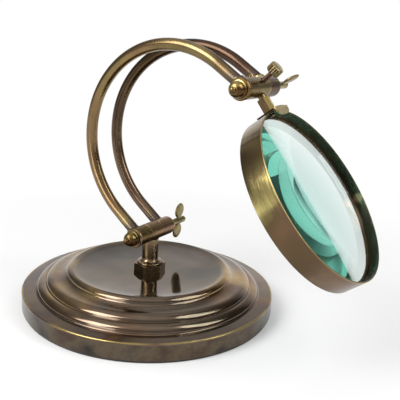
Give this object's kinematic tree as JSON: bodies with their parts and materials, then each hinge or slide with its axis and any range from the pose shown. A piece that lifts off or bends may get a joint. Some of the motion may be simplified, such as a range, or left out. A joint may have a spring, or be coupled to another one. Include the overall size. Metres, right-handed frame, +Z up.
{
  "type": "stand magnifier",
  "caption": "Stand magnifier: a round lens in a metal band hangs from paired curved arms that tilt over a stepped round base, for hands-free viewing.",
  "frame": {"origin": "centre of the felt face that rests on the table, under the pillar", "axes": "+Z up; the arms' planes are parallel to XZ and the lens hangs on the +X side; both pivots run along Y, wing screws at +Y"},
  "size_m": [0.2264, 0.1628, 0.1708],
  "materials": {
    "base_brass": "polished, brown antique patina",
    "dark_brass": "satin, dark antique patina",
    "olive_brass": "satin, olive antique patina",
    "red_brass": "satin, reddish antique patina",
    "barrel_brass": "satin, antique patina",
    "bright_brass": "polished",
    "ring_brass": "brushed, antique patina",
    "steel": "plain",
    "felt": "dense felt",
    "glass": "polished clear optical glass"
  },
  "bodies": {
    "base": {"base_shell": "base_brass", "felt_pad": "felt", "hex_collar": "dark_brass", "pillar": "dark_brass", "base_washer": "steel", "base_nut": "steel", "lower_centre_knuckle": "red_brass", "lower_bearing_washer": "dark_brass", "lower_acorn_screw": "bright_brass"},
    "arms": {"near_arm": "olive_brass", "far_arm": "red_brass", "lower_near_knuckle": "barrel_brass", "lower_far_knuckle": "red_brass", "upper_near_knuckle": "barrel_brass", "upper_far_knuckle": "red_brass"},
    "head": {"upper_centre_knuckle": "barrel_brass", "upper_bearing_washer": "barrel_brass", "upper_acorn_screw": "bright_brass"},
    "lens_holder": {"stem_rod": "olive_brass", "stem_standoff": "olive_brass", "ring_strap": "bright_brass", "strap_screw": "dark_brass", "lens_ring": "ring_brass", "lens": "glass", "front_retainer": "dark_brass", "back_retainer": "dark_brass"},
    "lower_wing": {"lower_wing_screw": "bright_brass"},
    "upper_wing": {"upper_wing_screw": "bright_brass"},
    "thumb": {"thumb_screw": "bright_brass"}
  },
  "joints": [
    {"name": "arm_tilt", "type": "hinge", "parent": "base", "child": "arms", "pos_m": [0, 0, 0.04865], "axis": [0, 1, 0], "range_deg": [-50, 10]},
    {"name": "head_tilt", "type": "hinge", "parent": "arms", "child": "head", "pos_m": [0.06797, 0, 0.14711], "axis": [0, -1, 0], "range_deg": [-25, 120]},
    {"name": "lens_swivel", "type": "hinge", "parent": "head", "child": "lens_holder", "pos_m": [0.06797, 0, 0.14711], "axis": [0.617, 0, -0.7869], "continuous": true},
    {"name": "lower_wing_turn", "type": "hinge", "parent": "base", "child": "lower_wing", "pos_m": [0, 0, 0.04865], "axis": [0, 1, 0], "range_deg": [0, 540]},
    {"name": "upper_wing_turn", "type": "hinge", "parent": "head", "child": "upper_wing", "pos_m": [0.06797, 0, 0.14711], "axis": [0, 1, 0], "range_deg": [0, 540]},
    {"name": "thumb_screw_turn", "type": "hinge", "parent": "head", "child": "thumb", "pos_m": [0.06797, 0, 0.14711], "axis": [0.6947, 0, 0.7193], "range_deg": [0, 540]}
  ]
}
